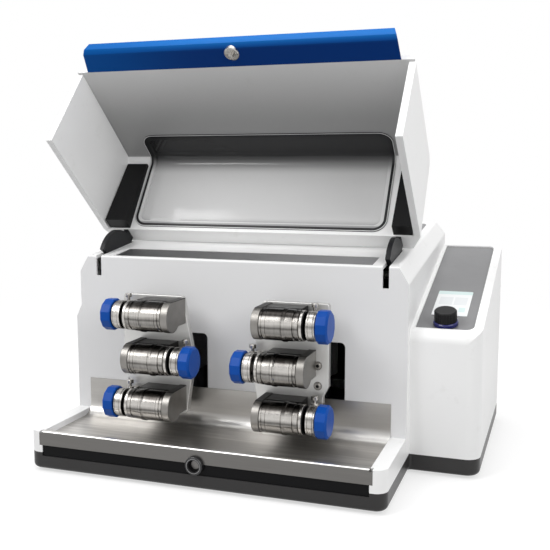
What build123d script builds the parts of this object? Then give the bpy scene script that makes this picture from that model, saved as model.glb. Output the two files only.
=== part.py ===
from build123d import *
import os
from math import cos, hypot, radians, sin, tan

# A laboratory mixer mill with six jar stations on two swing arms under a hinged lid.
# All sizes are in millimetres. X runs to the right, Y to the rear and Z up.
# The drawing starts at the left rail's front corner on the bench. The finished
# pieces are moved so that the origin lies on the bench under the machine's middle.

# Body
body_width = 581.0
column_width = 109.0
body_depth = 547.0
wall_y = 152.0
wall_top = 335.0
top_slope = 7.2
skin = 4.0
top_skin = 6.0
fit_gap = 0.3
shaft_gap = 0.05

# Feet and base pan
foot_height = 5.0
foot_radius = 16.0
foot_inset = 36.0
base_top = 33.0
base_corner = 18.0
base_edge = 8.0
base_wall = 6.0
base_floor = 10.0
inner_corner = 5.0
column_corner = 22.0

# Rails and sill in front of the chamber wall
rail_width = 24.0
rail_top = 67.0
lip_notch = 4.7
lip_notch_depth = 10.5

# Seal band under the steel lip
band_bottom = 27.0
band_top = 44.6
band_front = 2.0
sill_front = 10.0

# Steel tray
tray_sheet = 1.5
tray_floor = 57.0
lip_top = 68.0
lip_bottom = 44.8
lip_hem = 9.0
lip_fall = 4.0
tray_fold = 2.0
tray_bend = 22.0
tray_back_top = 120.0
tray_gap = 0.2

# Upper housing
side_step = 9.5
side_step_low = 228.0
side_step_high = 248.0
shoulder_in = 16.0
shoulder_drop = 27.0
shoulder_round = 7.0
cavity_drop = 26.0
rear_round = 32.0
wall_top_round = 3.5

# Panels let into the housing's top
panel_depth = 3.0
panel_sheet = 2.0
strip_side = 72.5
strip_right_side = 58.5
strip_start = 7.0
strip_length = 57.0
top_panel_rim = 12.0
top_panel_start = 134.0
top_panel_length = 220.0
top_panel_corner = 14.0

# Arm slots in the chamber wall
arm_offset = 117.5
slot_width = 149.0
slot_bottom = 114.0
slot_top = 212.0
slot_corner = 8.0

# Lid hinge
hinge_y = 215.5
hinge_z = 315.0
lid_travel = 131.5
hinge_inset = 36.0
hinge_slit = 10.0
hinge_slit_bottom = 301.0
hinge_slit_end = 274.0
hinge_plate = 8.0
hinge_sector = 60.0
hinge_hub = 14.0
hinge_shaft_radius = 6.0
hinge_boss = 13.0
hinge_boss_length = 8.0
hinge_tongue_low = 303.0
hinge_tongue_high = 327.0
hinge_tongue_front = 123.0
sector_first_angle = 161.5
sector_last_angle = 281.5

# Lid, drawn closed
lid_side = 10.7
lid_rear = 148.5
lid_bottom = 68.0
lid_side_front = -1.0
lid_side_rear_top = 302.5
lid_side_bend = 22.0
lid_bevel = 15.0
lid_front = -27.0
lid_rear_top = 334.0
lid_outer_bend = 40.0
lid_inner_front = -4.0
lid_inner_rear_top = 301.5
lid_inner_bend = 17.0

# Lid window
window_side = 69.5
window_low = 230.0
window_rear = 130.0
window_corner = 12.0
seal_width = 12.0
seal_proud = 1.5
seal_depth = 8.0
pane_inset = 2.5
pane_sheet = 4.0
pane_overlap = 6.0

# Handle bar
bar_side = 22.0
bar_bevel = 11.0
bar_front = -38.0
bar_bottom = 27.0
bar_inner_low = 33.0
bar_inner_top = 64.0
bar_outer_top = 76.0
bar_face = 70.0
bar_foot = -12.0
bar_round = 4.0
bar_step = 6.0
bar_drop = 7.0
under_reach = 40.0

# Lock between bar and lip
lock_z = 42.5
receptacle_radius = 14.0
receptacle_proud = 6.0
receptacle_length = 18.0
receptacle_bore = 9.5
receptacle_bore_depth = 11.0
receptacle_core = 6.7
receptacle_core_length = 3.0
receptacle_edge = 1.0
bolt_ring = 12.5
bolt_ring_face = -7.6
bolt_ring_length = 9.0
bolt_pin = 4.0
bolt_pin_end = -0.5

# Covers over the lid's arms
cover_side = 13.0
cover_past_arm = 8.5
cover_front_height = 6.3
cover_front = 12.0
cover_rear = 146.0

# Control column
column_bottom_y = 183.0
column_front_y = 165.0
column_front_z = 234.8
column_slope = 15.35
column_front_round = 20.0
column_rear_round = 12.0
column_rear_corner = 15.0
column_skin = 4.0
column_top_skin = 10.0
display_rim = 6.0
panel_right_rim = 14.0
column_panel_start = 15.5
column_panel_length = 369.0
column_panel_corner = 14.0
column_panel_depth = 6.0
column_panel_sheet = 3.0
display_left = 16.5
display_width = 56.5
display_start = 54.0
display_length = 96.0
display_sheet = 1.2
knob_along = 22.0
knob_across = 50.0
knob_ring_radius = 19.5
knob_ring_height = 6.0
knob_stem = 12.0
knob_stem_length = 6.0
knob_push = 1.0
knob_radius = 17.5
knob_height = 17.0
knob_flutes = 24
knob_chamfer = 1.5
knob_shaft = 4.0
knob_shaft_length = 8.0

# Rear panel with fan, inlet and switch
rear_panel_side = 45.0
rear_panel_low = 50.0
rear_panel_high = 290.0
rear_panel_sheet = 3.0
louvre_count = 8
louvre_pitch = 12.0
louvre_length = 120.0
louvre_height = 5.0
fan_from_side = 151.0
fan_z = 150.0
fan_opening = 44.0
fan_frame_wall = 3.0
fan_depth = 25.0
fan_blade_radius = 41.0
fan_hub = 17.0
fan_blades = 7
fan_pin = 3.0
guard_sheet = 2.0
guard_rings = 4
guard_wire = 2.2
inlet_x = 130.0
inlet_z = 90.0
inlet_width = 66.0
inlet_height = 32.0
inlet_depth = 26.0
socket_width = 27.0
socket_height = 20.0
socket_depth = 18.0
socket_pin_width = 4.0
switch_width = 14.0
switch_height = 22.0
switch_depth = 12.0
switch_tilt = 8.0
switch_pin = 1.5

# Drive frame, motor and eccentric
frame_plate = 14.0
frame_side = 70.0
frame_front = 190.0
frame_rear_gap = 25.0
bridge_bottom = 222.0
bridge_side = 110.0
bridge_front = 240.0
bridge_rear = 452.0
post_radius = 12.0
post_rear_y = 438.0
post_front_y = 256.0
arm_pivot_y = 272.0
pivot_radius = 12.0
pivot_collar = 18.0
drive_y = 370.0
motor_radius = 55.0
motor_top = 130.0
motor_fins = 16
motor_groove = 5.0
motor_groove_width = 4.0
motor_band = 15.0
drive_shaft = 8.0
eccentric_radius = 16.0
eccentric_throw = 5.0
eccentric_low = 144.0
eccentric_height = 14.0
eccentric_step = 24.0

# Swing arms
arm_swing = 2.5
plate_front = 112.0
plate_rear = 124.0
plate_below = 24.0
plate_above = 27.0
plate_outer = 58.5
plate_inner_top = 49.0
plate_inner_mid = 68.0
plate_inner_low = 53.0
plate_bulge_below = 7.0
plate_cut_below = 32.0
plate_cut = 9.0
plate_low_round = 8.0
plate_side_round = 60.0
plate_top_round = 5.0
beam_flange = 92.0
beam_waist = 52.0
beam_flange_depth = 12.0
beam_taper_end = 30.0
beam_height = 62.0
arm_centre_z = 163.0
hub_radius = 30.0
lever_width = 22.0
lever_height = 10.0
lever_lift = 2.0
fork_play = 2.3
fork_leg = 8.0
fork_length = 60.0

# Clamping stations
station_y = 67.0
station_heights = (252.0, 182.0, 108.0)
outer_knob_reach = 78.0
inner_knob_reach = 97.0
knob_length = 30.0
knob_across_corners = 53.0
knob_sides = 12
knob_edge = 2.5
knob_dish = 15.0
knob_dish_depth = 2.0
spindle_radius = 9.0
spindle_length = 22.0
collar_start = 31.0
collar_length = 12.5
collar_radius = 21.0
foot_half_height = 15.0
clamp_play = 2.0
clamp_pad_length = 8.5
clamp_pad_radius = 22.0
clamp_pad_bore = 6.0
clamp_travel = 2.0
jar_length = 74.7
jar_radius = 23.0
jar_ridge = 24.2
jar_neck = 21.0
end_block_length = 16.0
end_block_radius = 23.5
saddle_inset = 5.0
saddle_half_height = 19.0
saddle_front = 84.0
pin_y = 97.0
pin_radius = 2.5
pin_hold = 2.0
pin_shank = 24.0
pin_head = 5.5
pin_head_height = 6.0
pin_boss = 6.0
pin_boss_height = 19.0
pin_travel = 4.0

# Places that several pieces share
total_width = body_width + column_width
middle_x = body_width / 2
fan_x = body_width - fan_from_side
middle_y = (body_depth - receptacle_proud) / 2
slope_fall = tan(radians(top_slope))
column_fall = tan(radians(column_slope))
wall_back = wall_y + skin
arm_x = middle_x - arm_offset
hinge_x = side_step + hinge_inset
far_hinge_x = body_width - hinge_inset
lever_reach = hypot(arm_offset, drive_y - arm_pivot_y)
clamp_pad_start = collar_start + collar_length + clamp_travel + clamp_play
pin_reach = pin_travel + pin_hold
hinge_axis = Axis((0, hinge_y, hinge_z), (1, 0, 0))
mirror_plane = Plane.YZ.offset(middle_x)
top_plane = Plane(
    origin=(0, wall_y, wall_top), x_dir=(1, 0, 0),
    z_dir=(0, -sin(radians(top_slope)), cos(radians(top_slope))))
column_plane = Plane(
    origin=(body_width, column_front_y, column_front_z), x_dir=(1, 0, 0),
    z_dir=(0, -sin(radians(column_slope)), cos(radians(column_slope))))


def block(x, y, z):
    # A box between two limits on each axis
    size = Box(x[1] - x[0], y[1] - y[0], z[1] - z[0])
    return Pos((x[0] + x[1]) / 2, (y[0] + y[1]) / 2, (z[0] + z[1]) / 2) * size


def outline(points, rounds=None):
    # A closed face with straight sides, with the corners named in rounds rounded
    face = make_face(Polyline(*points, close=True))
    for number, radius in (rounds or {}).items():
        corner = Vector(*points[number])
        face = fillet(face.vertices().sort_by_distance(corner)[:1], radius)
    return face


def along_x(face, x):
    # A side outline, drawn as Y and Z, drawn out between two places on X
    return extrude(Plane.YZ.offset(x[0]) * face, amount=x[1] - x[0])


def along_z(face, z):
    # A plan outline, drawn as X and Y, drawn out between two heights
    return extrude(Plane.XY.offset(z[0]) * face, amount=z[1] - z[0])


def rod(start, axis, radius, length):
    # A round bar from a start point along an axis
    return extrude(Plane(origin=start, z_dir=axis) * Circle(radius), amount=length)


def turned(points, start, axis):
    # A turned piece whose outline is drawn as radius and distance along the axis
    solid = revolve(Plane.XZ * outline(points), axis=Axis.Z)
    return Plane(origin=start, z_dir=axis) * solid


def mirrored(shape):
    # The same piece on the machine's other side
    return mirror(shape, about=mirror_plane)


def far_hinge(shape):
    # The same piece at the right hinge
    return Pos(far_hinge_x - hinge_x, 0, 0) * shape


def opened(shape):
    # A lid piece, drawn closed, turned to the open rest
    return shape.rotate(hinge_axis, -lid_travel)


def top_height(y):
    return wall_top + (y - wall_y) * slope_fall


# Base

def base_plan():
    points = [
        (0, 0), (body_width, 0), (body_width, column_bottom_y),
        (total_width, column_bottom_y), (total_width, body_depth), (0, body_depth)]
    rounds = {0: base_corner, 1: base_corner, 2: inner_corner,
              3: column_corner, 4: column_rear_corner, 5: column_rear_corner}
    return outline(points, rounds)


def make_base_pan():
    pan = along_z(base_plan(), (foot_height, base_top))
    bottom = pan.faces().sort_by(Axis.Z)[0]
    pan = fillet(bottom.edges(), base_edge)
    inside = (rail_width + base_wall, body_width - base_wall)
    pocket = block((base_wall * 2, inside[1]), (wall_back, body_depth - base_wall * 2),
                   (base_floor, base_top))
    column_pocket = block((body_width + base_wall, total_width - base_wall * 2),
                          (column_bottom_y + base_wall * 2, body_depth - base_wall * 2),
                          (base_floor, base_top))
    sill_pocket = block((inside[0], body_width - inside[0]),
                        (sill_front + base_wall, wall_y - base_wall),
                        (base_floor, base_top))
    band_seat = block((rail_width, body_width - rail_width), (-1, sill_front),
                      (band_bottom, base_top + 1))
    return pan - pocket - column_pocket - sill_pocket - band_seat - lock_hole(tray_gap)


def make_feet():
    # Five feet follow the corners of the plan
    places = [
        (foot_inset, foot_inset), (body_width - foot_inset, foot_inset),
        (foot_inset, body_depth - foot_inset), (total_width - foot_inset, body_depth - foot_inset),
        (total_width - foot_inset, column_bottom_y + foot_inset)]
    feet = [rod((x, y, 0), (0, 0, 1), foot_radius, foot_height) for x, y in places]
    return Compound(children=[chamfer(foot.faces().sort_by(Axis.Z)[:1].edges(), 1) for foot in feet])


# Housing

def swept_section(left, right, high, step, drop):
    # A chamfered front section, swept back from the wall along the top's slope
    deep = -wall_top
    front = outline(
        [(left - step, deep), (left - step, side_step_low), (left, side_step_high),
         (left, high - drop), (left + shoulder_in, high), (right - shoulder_in, high),
         (right, high - drop), (right, deep)],
        {3: shoulder_round, 4: shoulder_round, 5: shoulder_round, 6: shoulder_round})
    slope = (0, cos(radians(top_slope)), sin(radians(top_slope)))
    length = (body_depth - wall_y) / cos(radians(top_slope)) + wall_top
    return extrude(Plane.XZ.offset(-wall_y) * front, amount=length, dir=slope)


def housing_outer():
    swept = swept_section(side_step, body_width, wall_top, side_step, shoulder_drop)
    side = outline(
        [(wall_y, base_top), (wall_y, wall_top), (body_depth, top_height(body_depth)),
         (body_depth, base_top)],
        {1: wall_top_round, 2: rear_round})
    return swept & along_x(side, (-1, body_width + 1))


def housing_cavity():
    # The swept section stands a little above the ceiling that the side outline gives
    swept = swept_section(side_step + skin, body_width - skin, wall_top - top_skin / 2,
                          side_step, cavity_drop)
    rear = body_depth - skin
    side = outline(
        [(wall_back, base_top), (wall_back, top_height(wall_back) - top_skin),
         (rear, top_height(rear) - top_skin), (rear, base_top)],
        {2: rear_round - skin})
    return swept & along_x(side, (side_step, body_width))


def hinge_slits():
    left = block((hinge_x - hinge_slit / 2, hinge_x + hinge_slit / 2),
                 (wall_y - 1, hinge_slit_end), (hinge_slit_bottom, wall_top + body_depth))
    return left + far_hinge(left)


def arm_slots():
    window = RectangleRounded(slot_width, slot_top - slot_bottom, slot_corner)
    place = Plane(origin=(arm_x, wall_y - 1, (slot_bottom + slot_top) / 2), x_dir=(1, 0, 0),
                  z_dir=(0, -1, 0))
    left = extrude(place * window, amount=-(skin + 2))
    return left + mirrored(left)


def lock_hole(gap):
    return rod((middle_x, -receptacle_proud, lock_z), (0, 1, 0), receptacle_radius + gap,
               receptacle_length)


def make_chamber_body(outer):
    wall = outer & block((-1, body_width + 1), (wall_y, wall_back), (base_top, body_depth))
    left_rail = block((0, rail_width), (0, wall_y), (base_top, rail_top))
    notch = block((rail_width - lip_notch, rail_width), (-1, lip_notch_depth),
                  (lip_bottom - tray_gap, rail_top + 1))
    rails = left_rail - notch
    rails = rails + mirrored(rails)
    rails = rails & along_z(base_plan(), (base_top, rail_top))
    sill = block((rail_width, body_width - rail_width), (sill_front, wall_y),
                 (base_top, tray_floor - tray_sheet))
    sill_pocket = block((rail_width + base_wall, body_width - rail_width - base_wall),
                        (sill_front + base_wall * 3, wall_y - base_wall),
                        (base_top, tray_floor - tray_sheet - base_wall))
    return wall + rails + sill - sill_pocket - arm_slots() - hinge_slits() - lock_hole(shaft_gap)


def top_panel_cut(x, start, length, corner, depth):
    # A rounded plate or pocket let into the sloping top
    width = x[1] - x[0]
    shape = RectangleRounded(width, length, corner)
    place = top_plane * Pos((x[0] + x[1]) / 2, start + length / 2, -depth)
    return place, shape


def let_in(x, start, length, corner):
    place, shape = top_panel_cut(x, start, length, corner, panel_depth)
    pocket = extrude(place * shape, amount=panel_depth + 1)
    plate = extrude(place * shape, amount=panel_sheet)
    return pocket, plate


def make_housing_shell(outer, pockets):
    body = outer & block((-1, body_width + 1), (wall_back, body_depth + 1),
                         (base_top, body_depth))
    shell = body - housing_cavity()
    boss = rod((side_step + skin, hinge_y, hinge_z), (1, 0, 0), hinge_boss, hinge_boss_length)
    far = body_width - skin - hinge_boss_length
    far_boss = rod((far, hinge_y, hinge_z), (1, 0, 0), hinge_boss, hinge_boss_length)
    shell = shell + (boss & outer) + (far_boss & outer)
    shell = shell - rod((side_step + skin, hinge_y, hinge_z), (1, 0, 0),
                        hinge_shaft_radius + shaft_gap, body_width - skin * 2 - side_step)
    opening = block((rear_panel_side - fit_gap, body_width - rear_panel_side + fit_gap),
                    (body_depth - skin - 1, body_depth + 1),
                    (rear_panel_low - fit_gap, rear_panel_high + fit_gap))
    for pocket in pockets:
        shell = shell - pocket
    return shell - opening - hinge_slits()


def make_hinge_shaft():
    length = body_width - skin * 2 - side_step
    return rod((side_step + skin, hinge_y, hinge_z), (1, 0, 0), hinge_shaft_radius, length)


# Chamber fittings

def make_chamber_tray():
    half = tray_sheet / 2
    path = FilletPolyline(
        (half, lip_bottom), (half, lip_top - half), (lip_hem, lip_top - half),
        (lip_hem + lip_fall, tray_floor - half), (wall_y - half, tray_floor - half),
        (wall_y - half, tray_back_top),
        radius=[tray_fold, tray_fold, tray_fold, tray_bend])
    inner = rail_width + tray_gap
    sheet = along_x(trace(path, line_width=tray_sheet), (inner, body_width - inner))
    ear = block((rail_width - lip_notch + tray_gap, inner + 1), (0, tray_sheet),
                (lip_bottom, lip_top - tray_fold * 2))
    return sheet + ear + mirrored(ear) - lock_hole(tray_gap)


def make_front_seal():
    band = block((rail_width + tray_gap, body_width - rail_width - tray_gap),
                 (band_front, sill_front), (band_bottom, band_top))
    return band - lock_hole(tray_gap)


def make_lock_receptacle():
    far = receptacle_length
    depth = receptacle_bore_depth
    core = depth - receptacle_core_length
    return turned(
        [(0, core), (receptacle_core, core), (receptacle_core, depth), (receptacle_bore, depth),
         (receptacle_bore, 0), (receptacle_radius - receptacle_edge, 0),
         (receptacle_radius, receptacle_edge), (receptacle_radius, far), (0, far)],
        (middle_x, -receptacle_proud, lock_z), (0, 1, 0))


# Rear panel

def make_rear_panel():
    plate = block((rear_panel_side, body_width - rear_panel_side),
                  (body_depth - rear_panel_sheet, body_depth), (rear_panel_low, rear_panel_high))
    front = body_depth - rear_panel_sheet - fan_depth
    centre = (fan_x, front, fan_z)
    tube = rod(centre, (0, 1, 0), fan_opening + fan_frame_wall, fan_depth)
    hole = rod(centre, (0, 1, 0), fan_opening, fan_depth + rear_panel_sheet)
    spider = block((fan_x - fan_opening - 1, fan_x + fan_opening + 1), (front, front + skin),
                   (fan_z - skin, fan_z + skin))
    pin = rod(centre, (0, 1, 0), fan_pin, fan_depth - skin)
    panel = plate + tube - hole + spider + pin
    for number in range(louvre_count):
        low = rear_panel_high - 2 * louvre_pitch - number * louvre_pitch
        slot = block((inlet_x - louvre_length / 2, inlet_x + louvre_length / 2),
                     (body_depth - rear_panel_sheet - 1, body_depth + 1),
                     (low - louvre_height, low))
        panel = panel - slot
    seat = block((inlet_x - inlet_width / 2, inlet_x + inlet_width / 2),
                 (body_depth - rear_panel_sheet - 1, body_depth + 1),
                 (inlet_z - inlet_height / 2, inlet_z + inlet_height / 2))
    return panel - seat


def make_fan_guard():
    radius = fan_opening - shaft_gap
    face = Circle(radius) - Circle(radius - guard_wire)
    step = radius / guard_rings
    for number in range(1, guard_rings):
        ring = step * number
        face = face + (Circle(ring) - Circle(ring - guard_wire))
    for angle in (45, 135):
        face = face + Rot(0, 0, angle) * Rectangle(radius * 2 - guard_wire, guard_wire)
    place = Plane(origin=(fan_x, body_depth - guard_sheet, fan_z), z_dir=(0, 1, 0))
    return extrude(place * face, amount=guard_sheet)


def make_fan_rotor():
    start = body_depth - rear_panel_sheet - fan_depth + skin + 1
    height = fan_depth - skin * 2 - 2
    hub = Cylinder(fan_hub, height)
    blade = Pos((fan_hub + fan_blade_radius) / 2 - 1, 0, 0) * Rot(35, 0, 0) * Box(
        fan_blade_radius - fan_hub, height, 1.5)
    rotor = hub
    for number in range(fan_blades):
        rotor = rotor + Rot(0, 0, number * 360 / fan_blades) * blade
    rotor = rotor - Cylinder(fan_pin + shaft_gap, height + 2)
    return Plane(origin=(fan_x, start + height / 2, fan_z), z_dir=(0, 1, 0)) * rotor


def switch_place():
    x = inlet_x - inlet_width / 2 + skin + switch_width / 2
    return x, body_depth - switch_depth / 2, inlet_z


def make_mains_inlet():
    body = block((inlet_x - inlet_width / 2, inlet_x + inlet_width / 2),
                 (body_depth - inlet_depth, body_depth),
                 (inlet_z - inlet_height / 2, inlet_z + inlet_height / 2))
    socket_x = inlet_x + inlet_width / 2 - skin - socket_width / 2
    mouth = outline(
        [(-socket_width / 2, -socket_height / 2), (socket_width / 2, -socket_height / 2),
         (socket_width / 2, socket_height / 4), (socket_width / 4, socket_height / 2),
         (-socket_width / 4, socket_height / 2), (-socket_width / 2, socket_height / 4)])
    place = Plane(origin=(socket_x, body_depth, inlet_z), x_dir=(-1, 0, 0), z_dir=(0, 1, 0))
    body = body - extrude(place * mouth, amount=-socket_depth)
    for across, up in ((-1, 0), (1, 0), (0, 1)):
        x = socket_x + across * socket_width / 4
        z = inlet_z + up * socket_height / 5 - socket_height / 10
        pin = block((x - socket_pin_width / 4, x + socket_pin_width / 4),
                    (body_depth - socket_depth - 1, body_depth - 2),
                    (z - socket_pin_width / 2, z + socket_pin_width / 2))
        body = body + pin
    x, y, z = switch_place()
    well = block((x - switch_width / 2 - fit_gap, x + switch_width / 2 + fit_gap),
                 (body_depth - switch_depth * 2 + 2, body_depth + 1),
                 (z - switch_height / 2 - 2, z + switch_height / 2 + 2))
    pivot = rod((x - switch_width / 2 - 1, y, z), (1, 0, 0), switch_pin, switch_width + 2)
    return body - well + pivot


def make_power_switch():
    x, y, z = switch_place()
    half = switch_height / 2
    rocker = outline(
        [(y - switch_depth / 3, z - half + 3), (y + switch_depth / 2 - 1, z - half),
         (y + switch_depth / 2 - 1 - half * tan(radians(switch_tilt)), z),
         (y + switch_depth / 2 - 1, z + half),
         (y - switch_depth / 3, z + half - 3)])
    solid = along_x(rocker, (x - switch_width / 2, x + switch_width / 2))
    bore = rod((x - switch_width, y, z), (1, 0, 0), switch_pin + shaft_gap, switch_width * 2)
    return solid - bore


# Lid, drawn closed

def lid_inner_height(y):
    return lid_inner_rear_top - (lid_rear - y) * slope_fall


def lid_outer():
    low = bar_bottom
    bend_z = lid_rear_top - (lid_rear - lid_front) * slope_fall
    middle = outline([(lid_rear, low), (lid_front, low), (lid_front, bend_z),
                      (lid_rear, lid_rear_top)], {2: lid_outer_bend})
    side_z = lid_side_rear_top - (lid_rear - lid_side_front) * slope_fall
    side = outline([(lid_rear, low), (lid_side_front, low), (lid_side_front, side_z),
                    (lid_rear, lid_side_rear_top)], {2: lid_side_bend})
    core = along_x(middle, (lid_bevel, body_width - lid_bevel))
    bevel = loft([Plane.YZ * side, Plane.YZ.offset(lid_bevel) * middle], ruled=True)
    return core + bevel + mirrored(bevel)


def lid_layer(near, far, x):
    # A bent sheet that follows the lid's inner surface, between two depths below it
    mid = (near + far) / 2
    front = lid_inner_front - mid
    rise = mid / cos(radians(top_slope))
    path = FilletPolyline(
        (front, bar_bottom), (front, lid_inner_height(front) + rise),
        (lid_rear + lid_front * -1, lid_inner_height(lid_rear - lid_front) + rise),
        radius=lid_inner_bend + mid)
    return along_x(trace(path, line_width=far - near), x)


def window_prism(grow):
    # The window's opening, grown on all sides, as a block with rounded corners
    prism = block((window_side - grow, body_width - window_side + grow),
                  (lid_front * 2, window_rear + grow), (window_low - grow, wall_top + grow))
    low = prism.edges().filter_by(Axis.Y).group_by(Axis.Z)[0]
    rear = prism.edges().filter_by(Axis.Z).group_by(Axis.Y)[-1]
    return fillet(low + rear, window_corner + grow)


def hinge_tongue(gap):
    half = hinge_plate / 2 + gap
    return block((hinge_x - half, hinge_x + half),
                 (hinge_tongue_front - gap, hinge_y - hinge_sector / 2),
                 (hinge_tongue_low - gap, hinge_tongue_high + gap))


def make_lid_shell():
    shell = lid_outer()
    inner_z = lid_inner_height(lid_inner_front)
    cavity = outline(
        [(lid_inner_front, 0), (lid_inner_front, inner_z),
         (lid_rear + 1, lid_inner_height(lid_rear + 1)), (lid_rear + 1, 0)],
        {1: lid_inner_bend})
    shell = shell - along_x(cavity, (lid_side, body_width - lid_side))
    bar_fall = (bar_outer_top - bar_inner_top) / (lid_inner_front - lid_front)
    far = lid_inner_front - under_reach
    under = outline(
        [(far, 0), (far, bar_inner_top + under_reach * bar_fall),
         (lid_inner_front, bar_inner_top), (lid_inner_front, lid_bottom),
         (lid_rear + 1, lid_bottom), (lid_rear + 1, 0)])
    shell = shell - along_x(under, (-1, body_width + 1))
    full = (0, body_width)
    rebate = window_prism(seal_width) & lid_layer(-1, seal_depth, full)
    pockets = hinge_tongue(fit_gap)
    pockets = pockets + far_hinge(pockets)
    return shell - rebate - window_prism(0) - pockets


def make_lid_window():
    full = (0, body_width)
    return window_prism(pane_overlap) & lid_layer(pane_inset, pane_inset + pane_sheet, full)


def make_window_seal(pane):
    full = (0, body_width)
    ring = window_prism(seal_width) - window_prism(0)
    return (ring & lid_layer(-seal_proud, seal_depth, full)) - pane


def make_handle_bar():
    section = outline(
        [(lid_inner_front, bar_inner_top), (bar_foot, bar_inner_low),
         (bar_foot - bar_step, bar_bottom), (bar_front + bar_step, bar_bottom),
         (bar_front, bar_bottom + bar_drop), (bar_front, bar_face), (lid_front, bar_outer_top)],
        {4: bar_round, 5: bar_round})
    bar = along_x(section, (bar_side, body_width - bar_side))
    plan = outline([(bar_side, lid_inner_front), (bar_side + bar_bevel, bar_front),
                    (body_width - bar_side - bar_bevel, bar_front),
                    (body_width - bar_side, lid_inner_front)])
    bar = bar & along_z(plan, (0, bar_outer_top + 1))
    return bar - rod((middle_x, bolt_ring_face - bolt_ring_length, lock_z), (0, 1, 0),
                     bolt_ring, bolt_ring_length + 10)


def make_lock_bolt():
    reach = bolt_pin_end - bolt_ring_face
    length = bolt_ring_length
    points = [(0, 0), (bolt_ring, 0), (bolt_ring, length - 1), (bolt_ring - 1, length),
              (bolt_pin, length), (bolt_pin, length + reach - 1), (bolt_pin - 1, length + reach),
              (0, length + reach)]
    return turned(points, (middle_x, bolt_ring_face - length, lock_z), (0, 1, 0))


def make_hinge_arm():
    far = hinge_sector * 2
    reach = [(far * cos(radians(a)), far * sin(radians(a)))
             for a in (sector_first_angle, (sector_first_angle + sector_last_angle) / 2,
                       sector_last_angle)]
    wedge = make_face(Polyline((0, 0), *reach, close=True))
    face = (Circle(hinge_sector) & wedge) + Circle(hinge_hub) - Circle(
        hinge_shaft_radius + shaft_gap)
    half = hinge_plate / 2
    plate = extrude(Plane.YZ.offset(hinge_x - half) * Pos(hinge_y, hinge_z) * face,
                    amount=hinge_plate)
    return plate + hinge_tongue(0)


def make_arm_cover(x):
    under = lid_inner_height(cover_front) - cover_front_height
    wedge = outline(
        [(cover_front, under), (cover_rear, under),
         (cover_rear, lid_inner_height(cover_rear)), (cover_front, lid_inner_height(cover_front))])
    return along_x(wedge, x)


# Control column

def column_plan(front_y):
    points = [(body_width, front_y), (total_width, front_y), (total_width, body_depth),
              (body_width, body_depth)]
    return outline(points, {1: column_corner, 2: column_rear_corner})


def column_panel_shape(depth, amount, inset=0.0):
    left = display_rim + inset
    right = column_width - panel_right_rim - inset
    start = column_panel_start + inset
    end = column_panel_start + column_panel_length - inset
    face = outline([(left, start), (right, start), (right, end), (left, end)],
                   {1: column_panel_corner - inset, 2: column_panel_corner - inset})
    return extrude(column_plane * Pos(0, 0, -depth) * face, amount=amount)


def make_column_housing():
    lean = (column_bottom_y - column_front_y) / (column_front_z - base_top)
    high = column_front_z + (body_depth - column_front_y) * column_fall
    high_y = column_bottom_y - lean * (high - base_top)
    solid = loft([Plane.XY.offset(base_top) * column_plan(column_bottom_y),
                  Plane.XY.offset(high) * column_plan(high_y)], ruled=True)
    side = outline(
        [(column_bottom_y, base_top), (column_front_y, column_front_z),
         (body_depth, high), (body_depth, base_top)],
        {1: column_front_round, 2: column_rear_round})
    solid = solid & along_x(side, (body_width - 1, total_width + 1))
    wall = column_skin
    cavity = outline(
        [(column_bottom_y + wall, base_top - 1),
         (column_front_y + wall * 3, column_front_z - column_top_skin),
         (body_depth - wall, high - column_top_skin - wall), (body_depth - wall, base_top - 1)],
        {1: column_front_round, 2: column_rear_round})
    cavity = along_x(cavity, (body_width + wall, total_width - wall))
    right_edges = cavity.edges().filter_by(Axis.X, reverse=True).group_by(Axis.X)[-1]
    cavity = fillet(right_edges.sort_by(Axis.Y)[:1], column_corner - wall)
    recess = column_panel_shape(column_panel_depth, column_panel_depth + column_panel_sheet)
    well = knob_rod(-column_top_skin * 3, knob_stem + fit_gap + 1, column_top_skin * 3)
    return solid - cavity - recess - well


def knob_point(height):
    # A point on the control knob's axis, at a height above the column's sloping face
    return column_plane.from_local_coords(Vector(knob_across, column_panel_start + knob_along, height))


def knob_rod(start, radius, length):
    return rod(knob_point(start), column_plane.z_dir, radius, length)


def make_column_panel():
    panel = column_panel_shape(column_panel_depth, column_panel_sheet)
    return panel - knob_rod(-column_panel_depth - 1, knob_stem + shaft_gap, column_panel_depth)


def make_display():
    face = Pos(display_left + display_width / 2 + display_rim,
               column_panel_start + display_start + display_length / 2) * RectangleRounded(
        display_width, display_length, 2)
    top = column_panel_depth - column_panel_sheet
    return extrude(column_plane * Pos(0, 0, -top) * face, amount=display_sheet)


def ring_bottom():
    return column_panel_sheet - column_panel_depth + knob_push + fit_gap


def make_knob_ring():
    ring = knob_rod(ring_bottom(), knob_ring_radius, knob_ring_height)
    ring = chamfer(ring.faces().sort_by(Axis.Z)[-1].edges(), knob_chamfer)
    stem = knob_rod(ring_bottom() - knob_stem_length, knob_stem, knob_stem_length)
    bore = knob_rod(ring_bottom() - knob_stem_length - 1, knob_shaft + shaft_gap,
                    knob_stem_length + knob_ring_height + 2)
    return ring + stem - bore


def make_control_knob():
    start = ring_bottom() + knob_ring_height + fit_gap
    cap = knob_rod(start, knob_radius, knob_height)
    cap = chamfer(cap.faces().sort_by(Axis.Z)[-1].edges(), knob_chamfer)
    flute = knob_rod(start - 1, 1.2, knob_height + 2)
    shift = column_plane.x_dir * (knob_radius + 0.6)
    axis = Axis(knob_point(0), column_plane.z_dir)
    for number in range(knob_flutes):
        cap = cap - flute.moved(Pos(shift)).rotate(axis, number * 360 / knob_flutes)
    return cap + knob_rod(start - knob_shaft_length, knob_shaft, knob_shaft_length)


# Drive

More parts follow.
